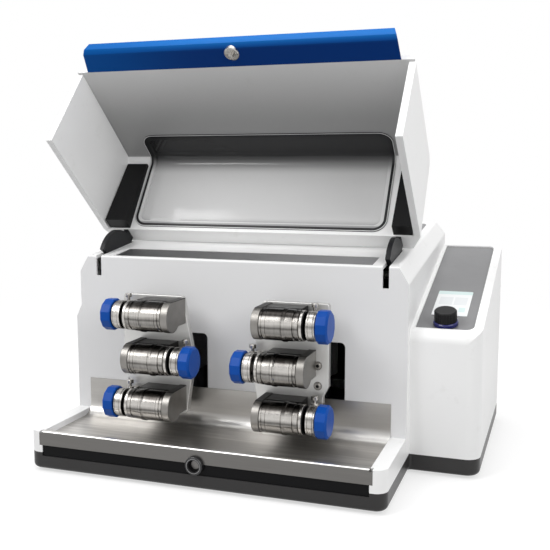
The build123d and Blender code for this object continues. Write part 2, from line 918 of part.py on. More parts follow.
def make_drive_frame():
    low = (base_floor, base_floor + frame_plate)
    high = (bridge_bottom, bridge_bottom + frame_plate)
    frame_rear = body_depth - base_wall * 2 - frame_rear_gap
    plate = block((frame_side, body_width - frame_side), (frame_front, frame_rear), low)
    bridge = block((bridge_side, body_width - bridge_side), (bridge_front, bridge_rear), high)
    post_x = bridge_side + post_radius + 2
    frame = plate + bridge
    for x, y in ((post_x, post_rear_y), (body_width - post_x, post_rear_y), (middle_x, post_front_y)):
        frame = frame + rod((x, y, low[0]), (0, 0, 1), post_radius, high[1] - low[0])
    hub = (arm_centre_z - beam_height / 2, arm_centre_z + beam_height / 2)
    for x in (arm_x, body_width - arm_x):
        frame = frame + rod((x, arm_pivot_y, low[0]), (0, 0, 1), pivot_radius, high[1] - low[0])
        frame = frame + rod((x, arm_pivot_y, low[0]), (0, 0, 1), pivot_collar,
                            hub[0] - fit_gap - low[0])
        frame = frame + rod((x, arm_pivot_y, hub[1] + fit_gap), (0, 0, 1), pivot_collar,
                            high[0] - hub[1] - fit_gap)
    hole = rod((middle_x, drive_y, high[0] - 1), (0, 0, 1), drive_shaft + shaft_gap,
               frame_plate + 2)
    return frame - hole


def make_drive_motor():
    bottom = base_floor + frame_plate
    height = motor_top - bottom
    body = rod((middle_x, drive_y, bottom), (0, 0, 1), motor_radius, height)
    groove = block((motor_radius - motor_groove, motor_radius + motor_groove),
                   (-motor_groove_width / 2, motor_groove_width / 2),
                   (bottom + motor_band, motor_top - motor_band))
    for number in range(motor_fins):
        body = body - Pos(middle_x, drive_y) * Rot(0, 0, number * 360 / motor_fins) * groove
    return body - rod((middle_x, drive_y, bottom + skin), (0, 0, 1), drive_shaft + shaft_gap,
                      height)


def make_eccentric_shaft():
    start = base_floor + frame_plate + skin + fit_gap
    shaft = rod((middle_x, drive_y, start), (0, 0, 1), drive_shaft,
                bridge_bottom + frame_plate - start)
    for number, side in ((0, 1), (1, -1)):
        shaft = shaft + rod(
            (middle_x + side * eccentric_throw, drive_y, eccentric_low + number * eccentric_step),
            (0, 0, 1), eccentric_radius, eccentric_height)
    return shaft


# Swing arms, drawn for the left side

def make_swing_beam(level):
    low = arm_centre_z - beam_height / 2
    high = arm_centre_z + beam_height / 2
    flange_end = plate_rear + beam_flange_depth
    taper_end = wall_y + beam_taper_end
    plan = outline(
        [(arm_x - beam_flange / 2, plate_rear), (arm_x + beam_flange / 2, plate_rear),
         (arm_x + beam_flange / 2, flange_end), (arm_x + beam_waist / 2, taper_end),
         (arm_x + beam_waist / 2, arm_pivot_y), (arm_x - beam_waist / 2, arm_pivot_y),
         (arm_x - beam_waist / 2, taper_end), (arm_x - beam_flange / 2, flange_end)])
    beam = along_z(plan, (low, high))
    hub = rod((arm_x, arm_pivot_y, low), (0, 0, 1), hub_radius, high - low)
    reach = lever_reach
    half_gap = eccentric_radius + eccentric_throw + reach * sin(radians(arm_swing)) + fork_play
    fork_start = reach - fork_length / 2
    lever = Pos(fork_start / 2, 0) * Rectangle(fork_start, lever_width)
    outer = half_gap + fork_leg
    fork = Pos(reach, 0) * Rectangle(fork_length, outer * 2)
    gap = Pos(reach + fork_leg, 0) * Rectangle(fork_length, half_gap * 2)
    place = Plane(origin=(arm_x, arm_pivot_y, eccentric_low + lever_lift + level * eccentric_step),
                  x_dir=(middle_x - arm_x, drive_y - arm_pivot_y, 0), z_dir=(0, 0, 1))
    arm = extrude(place * (lever + fork - gap), amount=lever_height)
    bore = rod((arm_x, arm_pivot_y, low - 1), (0, 0, 1), pivot_radius + shaft_gap,
               high - low + 2)
    return beam + hub + arm - bore


def stations():
    # Each station's height, knob end and direction, for the left arm
    top, mid, low = station_heights
    outer = arm_x - outer_knob_reach
    inner = arm_x + inner_knob_reach
    return ((top, outer, 1), (mid, inner, -1), (low, outer, 1))


def station_x(station, distance):
    return station[1] + station[2] * distance


def station_span(station, start, length):
    ends = sorted((station_x(station, start), station_x(station, start + length)))
    return ends[0], ends[1]


def station_rod(station, start, radius, length):
    return rod((station_x(station, start), station_y, station[0]), (station[2], 0, 0),
               radius, length)


def jar_start():
    return clamp_pad_start + clamp_pad_length + fit_gap


def pin_x(station):
    return station_x(station, collar_start + collar_length / 2)


def add_station(plate, station):
    z = station[0]
    collar = station_rod(station, collar_start, collar_radius, collar_length)
    collar_foot = block(station_span(station, collar_start, collar_length),
                        (station_y, plate_front), (z - foot_half_height, z + foot_half_height))
    boss = rod((pin_x(station), pin_y, z), (0, 0, 1), pin_boss, pin_boss_height)
    end = jar_start() + jar_length
    end_block = station_rod(station, end, end_block_radius, end_block_length)
    end_foot = block(station_span(station, end, end_block_length), (station_y, plate_front),
                     (z - end_block_radius, z + end_block_radius))
    saddle = block(station_span(station, jar_start() + saddle_inset, jar_length - saddle_inset),
                   (saddle_front, plate_front), (z - saddle_half_height, z + saddle_half_height))
    saddle = saddle - station_rod(station, jar_start() - 1, jar_ridge + fit_gap, jar_length + 1)
    plate = plate + collar + collar_foot + boss + end_block + end_foot + saddle
    plate = plate - station_rod(station, collar_start - 1, spindle_radius + shaft_gap,
                                collar_length + 2)
    return plate - rod((pin_x(station), pin_y, z - pin_reach - 1), (0, 0, 1),
                       pin_radius + shaft_gap, pin_boss_height + pin_reach + 2)


def make_swing_plate():
    top_z, middle_z, low_z = station_heights
    low = low_z - plate_below
    high = top_z + plate_above
    left = arm_x - plate_outer
    cut_z = middle_z - plate_cut_below
    face = outline(
        [(left + plate_cut, low), (arm_x + plate_inner_low, low),
         (arm_x + plate_inner_mid, middle_z - plate_bulge_below),
         (arm_x + plate_inner_top, high), (left, high), (left, cut_z),
         (left + plate_cut, cut_z - plate_cut * 2)],
        {1: plate_low_round, 2: plate_side_round, 3: plate_top_round, 4: plate_top_round})
    plate = extrude(Plane.XZ.offset(-plate_rear) * face, amount=plate_rear - plate_front)
    for station in stations():
        plate = add_station(plate, station)
    return plate


def make_jar(station):
    length = jar_length
    middle = length / 2
    points = [
        (0, 0), (jar_neck, 0), (jar_radius - 1, 2), (jar_radius - 1, 9), (jar_neck, 10.5),
        (jar_neck, 13), (jar_radius, 15), (jar_radius, middle - 3), (jar_ridge, middle - 2),
        (jar_ridge, middle + 2), (jar_radius, middle + 3), (jar_radius, length - 13),
        (jar_neck + 1, length - 11.5), (jar_radius - 0.5, length - 9),
        (jar_radius - 0.5, length - 1.5), (jar_neck, length), (0, length)]
    return turned(points, (station_x(station, jar_start()), station_y, station[0]),
                  (station[2], 0, 0))


def make_clamp_pad(station):
    edge = clamp_pad_radius
    length = clamp_pad_length
    bore = spindle_radius + shaft_gap
    points = [(0, clamp_pad_bore), (bore, clamp_pad_bore), (bore, 0), (edge - 2.5, 0),
              (edge - 2.5, 2.5), (edge, 2.5), (edge, length - 1), (edge - 1, length), (0, length)]
    return turned(points, (station_x(station, clamp_pad_start), station_y, station[0]),
                  (station[2], 0, 0))


def make_clamp_knob(station):
    place = Plane(origin=(station_x(station, 0), station_y, station[0]),
                  z_dir=(station[2], 0, 0))
    grip = extrude(RegularPolygon(knob_across_corners / 2, knob_sides), amount=knob_length)
    grip = chamfer(grip.faces().sort_by(Axis.Z)[0].edges(), knob_edge)
    grip = grip - Cylinder(knob_dish, knob_dish_depth * 2)
    spindle = Pos(0, 0, knob_length) * Cylinder(
        spindle_radius, spindle_length, align=(Align.CENTER, Align.CENTER, Align.MIN))
    return place * (grip + spindle)


def make_lock_pin(station):
    reach = pin_reach
    head = pin_shank + pin_head_height
    points = [(0, -reach), (pin_radius, -reach), (pin_radius, pin_shank),
              (pin_head, pin_shank), (pin_head, head - 1), (pin_head - 1, head), (0, head)]
    return turned(points, (pin_x(station), pin_y, station[0]), (0, 0, 1))


# Assembly

def build():
    outer = housing_outer()
    strip_pocket, strip = let_in((strip_side, body_width - strip_right_side), strip_start,
                                 strip_length, 1)
    panel_x = (side_step + shoulder_in + top_panel_rim, body_width - shoulder_in - top_panel_rim)
    panel_pocket, top_panel = let_in(panel_x, top_panel_start, top_panel_length,
                                     top_panel_corner)
    pane = make_lid_window()
    hinge_arm = make_hinge_arm()
    pieces = {
        "base_pan": make_base_pan(),
        "rubber_feet": make_feet(),
        "chamber_body": make_chamber_body(outer),
        "housing_shell": make_housing_shell(outer, (strip_pocket, panel_pocket)),
        "recess_strip": strip,
        "top_inset_panel": top_panel,
        "hinge_shaft": make_hinge_shaft(),
        "chamber_tray": make_chamber_tray(),
        "front_seal": make_front_seal(),
        "lock_receptacle": make_lock_receptacle(),
        "rear_panel": make_rear_panel(),
        "fan_guard": make_fan_guard(),
        "fan_rotor": make_fan_rotor(),
        "mains_inlet": make_mains_inlet(),
        "power_switch": make_power_switch(),
        "column_housing": make_column_housing(),
        "column_panel": make_column_panel(),
        "display_screen": make_display(),
        "knob_ring": make_knob_ring(),
        "control_knob": make_control_knob(),
        "drive_frame": make_drive_frame(),
        "drive_motor": make_drive_motor(),
        "eccentric_shaft": make_eccentric_shaft(),
        "swing_beam_left": make_swing_beam(0),
        "swing_beam_right": mirrored(make_swing_beam(1)),
    }
    plate = make_swing_plate()
    pieces["swing_plate_left"] = plate
    pieces["swing_plate_right"] = mirrored(plate)
    makers = {"jar": make_jar, "clamp_pad": make_clamp_pad, "clamp_knob": make_clamp_knob,
              "lock_pin": make_lock_pin}
    for number, station in enumerate(stations(), start=1):
        for name, make in makers.items():
            piece = make(station)
            pieces[f"{name}_{number}"] = piece
            pieces[f"{name}_{number + 3}"] = mirrored(piece)
    lid = {
        "lid_shell": make_lid_shell(),
        "lid_window": pane,
        "window_seal": make_window_seal(pane),
        "handle_bar": make_handle_bar(),
        "lock_bolt": make_lock_bolt(),
        "hinge_arm_left": hinge_arm,
        "hinge_arm_right": far_hinge(hinge_arm),
        "arm_cover_left": make_arm_cover((cover_side, hinge_x + cover_past_arm)),
        "arm_cover_right": make_arm_cover((far_hinge_x - cover_past_arm, body_width - cover_side)),
    }
    for name, shape in lid.items():
        pieces[name] = opened(shape)
    return pieces


os.makedirs("parts", exist_ok=True)
for name, shape in build().items():
    export_step(Pos(-total_width / 2, -middle_y, 0) * shape, f"parts/{name}.step")
    print(name)
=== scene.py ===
import bmesh
import bpy
import math
from mathutils import Matrix, Vector


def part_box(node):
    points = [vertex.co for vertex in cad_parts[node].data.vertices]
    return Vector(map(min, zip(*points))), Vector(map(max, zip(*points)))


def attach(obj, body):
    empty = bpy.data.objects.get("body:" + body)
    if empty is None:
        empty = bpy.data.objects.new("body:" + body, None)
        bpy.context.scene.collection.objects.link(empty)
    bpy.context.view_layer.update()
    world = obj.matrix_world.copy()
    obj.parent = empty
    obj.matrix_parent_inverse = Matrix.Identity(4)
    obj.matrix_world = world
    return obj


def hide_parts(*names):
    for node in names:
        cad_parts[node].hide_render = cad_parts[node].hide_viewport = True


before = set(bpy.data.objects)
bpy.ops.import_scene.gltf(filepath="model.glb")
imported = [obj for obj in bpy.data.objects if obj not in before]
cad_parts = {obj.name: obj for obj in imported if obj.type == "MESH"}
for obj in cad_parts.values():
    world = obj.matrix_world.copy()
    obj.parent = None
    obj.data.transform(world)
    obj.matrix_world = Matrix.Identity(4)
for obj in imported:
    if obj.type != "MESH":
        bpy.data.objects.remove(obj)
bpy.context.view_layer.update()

print("frame loaded,", len(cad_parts), "nodes")


# Camera, at the photograph's viewing angle

camera = {
    "place": (0.4553, -1.3874, 0.4857),
    "turn": 18.9,
    "dip": 7.26,
    "lens": 55.37,
    "sensor": 36.0,
}


def addCamera():
    data = bpy.data.cameras.new("camera")
    data.lens = camera["lens"]
    data.sensor_width = camera["sensor"]
    obj = bpy.data.objects.new("camera", data)
    obj.location = camera["place"]
    obj.rotation_euler = (math.radians(90 - camera["dip"]), 0, math.radians(camera["turn"]))
    bpy.context.collection.objects.link(obj)
    bpy.context.scene.camera = obj


addCamera()


# Mesh making

mm = 0.001
planCentre = Vector((345.0, 270.5, 0.0))


def atMm(x, y, z):
    # A place in millimetres from the left front corner of the floor plan
    return (Vector((x, y, z)) - planCentre) * mm


def aim(place, direction):
    # A frame whose Z axis points along the direction
    turn = Vector(direction).to_track_quat("Z", "Y").to_matrix().to_4x4()
    return Matrix.Translation(place) @ turn


def lathe(bm, frameMatrix, profile, steps=72):
    # A closed turned form; the profile lists (distance along the axis, radius) in mm
    rings = []
    for along, radius in profile:
        ring = []
        for step in range(steps):
            angle = 2 * math.pi * (step + 0.5) / steps
            spot = Vector((radius * math.cos(angle), radius * math.sin(angle), along)) * mm
            ring.append(bm.verts.new(frameMatrix @ spot))
        rings.append(ring)
    for near, far in zip(rings, rings[1:]):
        for step in range(steps):
            after = (step + 1) % steps
            bm.faces.new((near[step], near[after], far[after], far[step]))
    bm.faces.new(list(reversed(rings[0])))
    bm.faces.new(rings[-1])


def loft(bm, near, far):
    # A solid between two equal outlines
    first = [bm.verts.new(point) for point in near]
    last = [bm.verts.new(point) for point in far]
    count = len(first)
    for step in range(count):
        after = (step + 1) % count
        bm.faces.new((first[step], first[after], last[after], last[step]))
    bm.faces.new(list(reversed(first)))
    bm.faces.new(last)


def arc(centre, radius, start, end, steps=24):
    # Points on a circle, angles in degrees
    points = []
    for step in range(steps + 1):
        angle = math.radians(start + (end - start) * step / steps)
        points.append((centre[0] + radius * math.cos(angle), centre[1] + radius * math.sin(angle)))
    return points


def roundedOutline(corners, steps=8):
    # Corners as (x, z, radius); each is replaced by its arc
    points = []
    count = len(corners)
    for number, (x, z, radius) in enumerate(corners):
        here = Vector((x, z))
        before = (Vector(corners[number - 1][:2]) - here).normalized()
        after = (Vector(corners[(number + 1) % count][:2]) - here).normalized()
        if radius == 0:
            points.append((x, z))
            continue
        half = before.angle(after) / 2
        centre = here + (before + after).normalized() * (radius / math.sin(half))
        reach = radius / math.tan(half)
        first = here + before * reach - centre
        last = here + after * reach - centre
        for step in range(steps + 1):
            share = step / steps
            spoke = first.slerp(last, share) if share not in (0, 1) else (last if share else first)
            points.append(tuple(centre + spoke.normalized() * radius))
    return points


def makePiece(name, bm, finish, body, sharp=35.0, edge=0.0):
    # A piece that rides on a body; edges over sharp degrees stay hard, or get a round of edge mm
    bmesh.ops.recalc_face_normals(bm, faces=bm.faces)
    for side in bm.faces:
        side.smooth = True
    for line in bm.edges:
        if len(line.link_faces) == 2 and line.calc_face_angle() > math.radians(sharp):
            line.smooth = False
    mesh = bpy.data.meshes.new(name)
    bm.to_mesh(mesh)
    bm.free()
    mesh.materials.append(finishes[finish])
    piece = bpy.data.objects.new(name, mesh)
    bpy.context.collection.objects.link(piece)
    if edge:
        soften = piece.modifiers.new("softEdge", "BEVEL")
        soften.width = edge * mm
        soften.segments = 2
        soften.limit_method = "ANGLE"
        soften.angle_limit = math.radians(sharp)
        soften.harden_normals = True
    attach(piece, body)
    return piece


# Shader writing

class Value:
    # A socket that can be used in sums
    def __init__(self, graph, socket):
        self.graph = graph
        self.socket = socket

    def maths(self, operation, *others):
        return self.graph.maths(operation, self, *others)

    def __add__(self, other):
        return self.maths("ADD", other)

    def __radd__(self, other):
        return self.graph.maths("ADD", other, self)

    def __sub__(self, other):
        return self.maths("SUBTRACT", other)

    def __rsub__(self, other):
        return self.graph.maths("SUBTRACT", other, self)

    def __mul__(self, other):
        return self.maths("MULTIPLY", other)

    def __rmul__(self, other):
        return self.graph.maths("MULTIPLY", other, self)

    def __truediv__(self, other):
        return self.maths("DIVIDE", other)

    def __rtruediv__(self, other):
        return self.graph.maths("DIVIDE", other, self)

    def above(self, limit, soft):
        # 0 under the limit, 1 over it, with a soft step
        return self.graph.step(self, limit - soft, limit + soft)

    def between(self, first, last, soft):
        return self.above(first, soft) * (1 - self.above(last, soft))

    def clamped(self):
        return self.maths("MAXIMUM", 0.0).maths("MINIMUM", 1.0)


class Graph:
    # The nodes of one material, or of the world
    def __init__(self, name, owner=None):
        self.material = owner or bpy.data.materials.new(name)
        self.material.use_nodes = True
        self.tree = self.material.node_tree
        self.tree.nodes.clear()
        self.where = self.node("ShaderNodeTexCoord").outputs["Object"]

    def put(self, socket, value):
        if isinstance(value, Value):
            self.tree.links.new(value.socket, socket)
        elif hasattr(value, "is_output"):
            self.tree.links.new(value, socket)
        elif isinstance(value, tuple) and socket.type == "RGBA":
            socket.default_value = (*value, 1)
        else:
            socket.default_value = value

    def node(self, kind, settings=None, **sockets):
        # Sockets are given by name, or as n0, n1 and so on by number
        node = self.tree.nodes.new(kind)
        for name, value in (settings or {}).items():
            if name == "stops":
                self.ramp(node, value)
            else:
                setattr(node, name, value)
        for name, value in sockets.items():
            key = int(name[1:]) if name[0] == "n" and name[1:].isdigit() else name.replace("_", " ")
            self.put(node.inputs[key], value)
        return node

    def ramp(self, node, stops):
        elements = node.color_ramp.elements
        while len(elements) < len(stops):
            elements.new(1)
        for element, (place, colour) in zip(elements, stops):
            element.position = place
            element.color = (*colour, 1)

    def maths(self, operation, *values):
        sockets = {f"n{number}": value for number, value in enumerate(values)}
        node = self.node("ShaderNodeMath", {"operation": operation}, **sockets)
        return Value(self, node.outputs[0])

    def step(self, value, low, high):
        sockets = {"Value": value, "From_Min": low, "From_Max": high}
        node = self.node("ShaderNodeMapRange", {"interpolation_type": "SMOOTHSTEP"}, **sockets)
        return Value(self, node.outputs["Result"])

    def mix(self, factor, first, second):
        node = self.node("ShaderNodeMix", {"data_type": "RGBA"}, n0=factor, n6=first, n7=second)
        return node.outputs[2]

    def axes(self):
        parts = self.node("ShaderNodeSeparateXYZ", Vector=self.where).outputs
        return [Value(self, part) for part in parts]

    def noise(self, size, detail=2.0, roughness=0.5, stretch=(1, 1, 1)):
        # Noise whose features are about size metres wide
        spread = self.node("ShaderNodeVectorMath", {"operation": "MULTIPLY"},
                           n0=self.where, n1=stretch)
        node = self.node("ShaderNodeTexNoise", Vector=spread.outputs[0], Scale=1 / size,
                         Detail=detail, Roughness=roughness)
        return Value(self, node.outputs["Fac"])

    def bump(self, height, depth):
        node = self.node("ShaderNodeBump", Height=height, Distance=depth, Strength=1.0)
        return node.outputs["Normal"]

    def show(self, shader, kind="ShaderNodeOutputMaterial"):
        self.node(kind, Surface=shader)
        return self.material

    def finish(self, **sockets):
        return self.show(self.node("ShaderNodeBsdfPrincipled", **sockets).outputs[0])


# White paint

whitePaint = {
    "colour": (0.90, 0.90, 0.895), "shade": (0.865, 0.865, 0.865), "shadeSize": 0.19,
    "worn": (0.74, 0.735, 0.72), "wear": 0.35, "wearSize": 0.03,
    "roughness": 0.34, "peel": 0.0011, "peelDepth": 0.00003, "coat": 0.1, "coatRoughness": 0.2,
}
# Painted shade: the chamber's wall behind the swing arms is a little greyer
wallShade = {"face": -0.1185, "thickness": 0.0006, "tone": (0.735, 0.735, 0.74)}
# The lid as it stands when shut, in metres, and the painted shade on its inner front
lid = {
    "hinge": (-0.055, 0.315), "travel": 131.5, "innerFront": -0.2745,
    "windowLow": 0.230, "windowRear": -0.1405, "middle": -0.0545, "windowHalf": 0.221,
    "corner": 0.012, "paintedShadeFrom": 0.015, "paintedShadeTo": 0.200, "paintedShadeLeast": 0.25,
    "paintedShadeGrey": (0.33, 0.33, 0.33), "faceAhead": 0.0006, "faceBehind": 0.0015,
}


def closedLid(g):
    # Where a point of the open lid lies once the lid is shut
    x, y, z = g.axes()
    turn = math.radians(lid["travel"])
    out, up = y - lid["hinge"][0], z - lid["hinge"][1]
    return (x, lid["hinge"][0] + math.cos(turn) * out - math.sin(turn) * up,
            lid["hinge"][1] + math.sin(turn) * out + math.cos(turn) * up)


def paint(g, paintedShade=0.0, paintedShadeGrey=whitePaint["shade"]):
    # Powder coat with a fine orange peel and a few handling marks, and painted shade in grey where
    # a mask is given
    tone = g.noise(whitePaint["shadeSize"], 2.0)
    marks = g.noise(whitePaint["wearSize"], 5.0, 0.65)
    peel = g.noise(whitePaint["peel"], 1.0)
    clean = g.mix(tone, whitePaint["shade"], whitePaint["colour"])
    colour = g.mix(whitePaint["wear"] * marks.above(0.66, 0.08), clean, whitePaint["worn"])
    if isinstance(paintedShade, Value):
        colour = g.mix(paintedShade, colour, paintedShadeGrey)
    return g.finish(Base_Color=colour, Roughness=whitePaint["roughness"] + 0.10 * marks,
                    Coat_Weight=whitePaint["coat"], Coat_Roughness=whitePaint["coatRoughness"],
                    Normal=g.bump(peel, whitePaint["peelDepth"]))


def makeWhitePaint():
    return paint(Graph("whitePaint"))


def makeWallPaint():
    g = Graph("wallPaint")
    # Painted shade: the wall's face is painted greyer than the rest
    y = g.axes()[1]
    face = y.between(wallShade["face"] - wallShade["thickness"], wallShade["face"] + wallShade["thickness"], 0.0002)
    return paint(g, face, wallShade["tone"])


def makeLidPaint():
    # The lid's inner front gets painted shade, more and more from the bar up to the window
    g = Graph("lidPaint")
    _, y, z = closedLid(g)
    face = (y.above(lid["innerFront"] - lid["faceAhead"], 0.0002)
            * (1 - y.above(lid["innerFront"] + lid["faceBehind"], 0.0005)))
    rise = g.step(z, lid["paintedShadeFrom"], lid["paintedShadeTo"])
    paintedShade = lid["paintedShadeLeast"] + (1 - lid["paintedShadeLeast"]) * rise
    return paint(g, face * paintedShade, lid["paintedShadeGrey"])


# Window: its tinted pane with painted reflection, and the trim round it

pane = {
    "deep": (0.032, 0.032, 0.033), "pale": (0.66, 0.66, 0.66), "from": 0.472, "to": 0.505,
    "foot": (0.33, 0.33, 0.335), "footFrom": 0.3875, "footTo": 0.3905,
    "alphaPale": 0.78, "alphaDeep": 0.95, "alphaLow": 0.34, "lowFrom": 0.385, "lowTo": 0.40,
}


def paneTintAndReflection(g):
    # Painted reflection: dark over the window's front part, fading to a pale smoke over the lid's
    # top, and painted shade along its foot; heights are those of the open lid
    z = g.axes()[2]
    foot = 1 - g.step(z, pane["footFrom"], pane["footTo"])
    pale = g.mix(foot, pane["pale"], pane["foot"])
    return g.mix(g.step(z, pane["from"], pane["to"]), pale, pane["deep"])


def makePane():
    # Nearly opaque where the painted reflection is dark, and clearer towards the lid's hinge
    g = Graph("tintedPaneWithReflection")
    z = g.axes()[2]
    deep = g.step(z, pane["from"], pane["to"])
    middle = g.step(z, pane["lowFrom"], pane["lowTo"])
    smear = g.noise(0.08, 2.0)
    alpha = (pane["alphaLow"] + (pane["alphaPale"] - pane["alphaLow"]) * middle
             + (pane["alphaDeep"] - pane["alphaPale"]) * deep)
    return g.finish(Base_Color=paneTintAndReflection(g), Roughness=0.06 + 0.05 * smear,
                    Specular_IOR_Level=0.3, Alpha=alpha)


# Distances from the window's edge at which the tint with its painted reflection, the rubber and the
# painted highlight line end
seal = {
    "glass": 0.0056, "black": 0.0102, "line": 0.0117, "paintedHighlight": (0.66, 0.66, 0.66),
    "rubber": (0.008, 0.008, 0.009), "shine": 0.25,
}


def makeWindowTrim():
    # From the window outwards: the pane's own tint with its painted reflection, black rubber and a
    # thin painted highlight line
    g = Graph("windowTrim")
    tintAndReflection = paneTintAndReflection(g)
    fine = g.noise(0.002, 2.0, 0.6)
    x, y, z = closedLid(g)
    across = (x - lid["middle"]).maths("ABSOLUTE") - lid["windowHalf"]
    beyond = (lid["windowLow"] - z).maths("MAXIMUM", y - lid["windowRear"])
    side = (across + lid["corner"]).maths("MAXIMUM", 0.0)
    end = (beyond + lid["corner"]).maths("MAXIMUM", 0.0)
    away = (side * side + end * end).maths("SQRT") - lid["corner"]
    rubber = away.above(seal["glass"], 0.0002)
    paintedHighlight = away.between(seal["black"], seal["line"], 0.0003)
    colour = g.mix(rubber, tintAndReflection, seal["rubber"])
    return g.finish(Base_Color=g.mix(paintedHighlight, colour, seal["paintedHighlight"]),
                    Roughness=0.12 + 0.2 * rubber + 0.08 * fine,
                    Specular_IOR_Level=seal["shine"], Normal=g.bump(fine, 0.00002))


# Plastics, enamels and rubber

plastics = {
    "baseGrey": {"colour": (0.033, 0.032, 0.032), "dark": (0.023, 0.022, 0.022),
                 "roughness": 0.34, "grain": 0.0012, "depth": 0.00006, "shine": 0.28},
    "footRubber": {"colour": (0.02, 0.02, 0.02), "dark": (0.012, 0.012, 0.012),
                   "roughness": 0.7, "grain": 0.002, "depth": 0.0001, "shine": 0.5},
    "panelGrey": {"colour": (0.215, 0.215, 0.22), "dark": (0.17, 0.17, 0.175),
                  "roughness": 0.38, "grain": 0.0012, "depth": 0.00004, "shine": 0.5},
    # The saddle's steel is painted near black as painted shade
    "saddleSteelShaded": {"colour": (0.018, 0.0165, 0.015), "dark": (0.006, 0.0055, 0.005),
                    "roughness": 0.3, "grain": 0.001, "depth": 0.00003, "shine": 0.12},
    "sealRubber": {"colour": (0.006, 0.006, 0.0065), "dark": (0.004, 0.004, 0.0045),
                   "roughness": 0.30, "grain": 0.002, "depth": 0.00004, "shine": 0.09},
    "blackPlastic": {"colour": (0.007, 0.007, 0.0075), "dark": (0.004, 0.004, 0.0045),
                     "roughness": 0.42, "grain": 0.001, "depth": 0.00004, "shine": 0.18},
    "castIron": {"colour": (0.09, 0.095, 0.1), "dark": (0.06, 0.063, 0.068),
                 "roughness": 0.6, "grain": 0.003, "depth": 0.0003, "shine": 0.5},
    "motorPaint": {"colour": (0.05, 0.055, 0.06), "dark": (0.035, 0.04, 0.045),
                   "roughness": 0.45, "grain": 0.002, "depth": 0.0001, "shine": 0.5},
    "armGrey": {"colour": (0.018, 0.0185, 0.020), "dark": (0.010, 0.0105, 0.012),
                "roughness": 0.36, "grain": 0.001, "depth": 0.00005, "shine": 0.16},
    "knobBlue": {"colour": (0.002, 0.072, 0.37), "dark": (0.001, 0.054, 0.30),
                 "roughness": 0.34, "grain": 0.0008, "depth": 0.00003, "shine": 0.16},
    "ringBlue": {"colour": (0.010, 0.012, 0.13), "dark": (0.006, 0.008, 0.09),
                 "roughness": 0.25, "grain": 0.001, "depth": 0.00002, "shine": 0.5},
}


def plastic(name, colour, dark, roughness, grain, depth, shine):
    # Moulded plastic or rubber: slow colour drift, fine grain, rubbed patches
    g = Graph(name)
    tone = g.noise(0.06, 3.0)
    fine = g.noise(grain, 2.0, 0.6)
    rubbed = g.noise(0.018, 4.0, 0.6)
    rough = roughness + 0.10 * fine - 0.08 * rubbed
    return g.finish(Base_Color=g.mix(tone, dark, colour), Roughness=rough,
                    Specular_IOR_Level=shine, Normal=g.bump(fine, depth))


# Handle bar

# low is painted shade on the bar's underside, high a painted highlight on its top, left painted
# light on its left end
barBlue = {
    "low": (0.0002, 0.029, 0.165), "high": (0.010, 0.15, 0.50), "left": (0.0006, 0.085, 0.34),
    "litTopFrom": 0.70, "litLeftTo": 0.22, "litLeftShare": 0.6, "roughness": 0.30, "shine": 0.06,
}


def makeBarBlue():
    # Blue lacquer with painted light: a painted highlight on its top and a lighter left end, and
    # painted shade deeper towards the underside and the right
    g = Graph("barBlue")
    x, _, z = g.axes()
    low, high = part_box("handle_bar")
    rise = (z - low[2]) / (high[2] - low[2])
    along = (x - low[0]) / (high[0] - low[0])
    flake = g.noise(0.0004, 2.0, 0.6)
    cloud = g.noise(0.12, 3.0)
    colour = g.mix(rise.above(barBlue["litTopFrom"], 0.2), barBlue["low"], barBlue["high"])
    left = 1 - along.above(barBlue["litLeftTo"], barBlue["litLeftTo"])
    colour = g.mix(barBlue["litLeftShare"] * left, colour, barBlue["left"])
    return g.finish(Base_Color=colour, Roughness=barBlue["roughness"] + 0.10 * cloud,
                    Specular_IOR_Level=barBlue["shine"], Normal=g.bump(flake, 0.00001))


# Chamber tray

# face and back are painted shade colours, edge a painted highlight colour
traySteel = {
    "light": (0.74, 0.72, 0.69), "dark": (0.44, 0.424, 0.405), "back": (0.33, 0.32, 0.307),
    "face": (0.050, 0.048, 0.046), "edge": (0.80, 0.79, 0.77), "roughness": 0.24,
    "grain": 0.0007, "reach": 55.0, "streak": 0.011, "streakReach": 18.0,
    "backWidth": 0.024, "bendTop": 0.078, "lipHighlightDepth": 0.0016,
    "backShadeShare": 0.85, "faceShadeShare": 0.8, "bendHighlightShare": 0.35,
}


def trayLipTop():
    # The lip's top edge, found on the tray's own front
    corners = [v.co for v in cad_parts["chamber_tray"].data.vertices]
    front = min(co.y for co in corners)
    return max(co.z for co in corners if co.y < front + 0.003)


def makeTraySteel():
    # Sheet steel brushed from side to side, dull on its floor; painted highlights at its folds and
    # along the lip's top edge, painted shade on its front face and its back
    g = Graph("traySteel")
    _, y, z = g.axes()
    low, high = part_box("chamber_tray")
    grain = g.noise(traySteel["grain"], 4.0, 0.7, (1 / traySteel["reach"], 1, 1))
    streaks = g.noise(traySteel["streak"], 4.0, 0.6, (1 / traySteel["streakReach"], 1, 1))
    patches = g.noise(0.10, 3.0, 0.5, (0.5, 1, 1))
    face = 1 - y.above(low[1] + 0.004, 0.002)
    back = y.above(high[1] - traySteel["backWidth"], 0.016)
    bendHighlight = back * (1 - z.above(traySteel["bendTop"], 0.012))
    lipHighlight = face * z.above(trayLipTop() - traySteel["lipHighlightDepth"], 0.0007)
    brushed = 0.15 + 0.4 * grain + 0.5 * streaks.above(0.54, 0.12) * (1 - 0.8 * face)
    colour = g.mix(brushed, traySteel["dark"], traySteel["light"])
    colour = g.mix(traySteel["backShadeShare"] * back, colour, traySteel["back"])
    colour = g.mix(traySteel["faceShadeShare"] * face, colour, traySteel["face"])
    colour = g.mix(traySteel["bendHighlightShare"] * bendHighlight, colour, traySteel["edge"])
    colour = g.mix(lipHighlight, colour, traySteel["edge"])
    rough = traySteel["roughness"] + 0.10 * grain + 0.10 * patches
    return g.finish(Base_Color=colour, Metallic=1.0, Roughness=rough,
                    Normal=g.bump(grain, 0.00004))


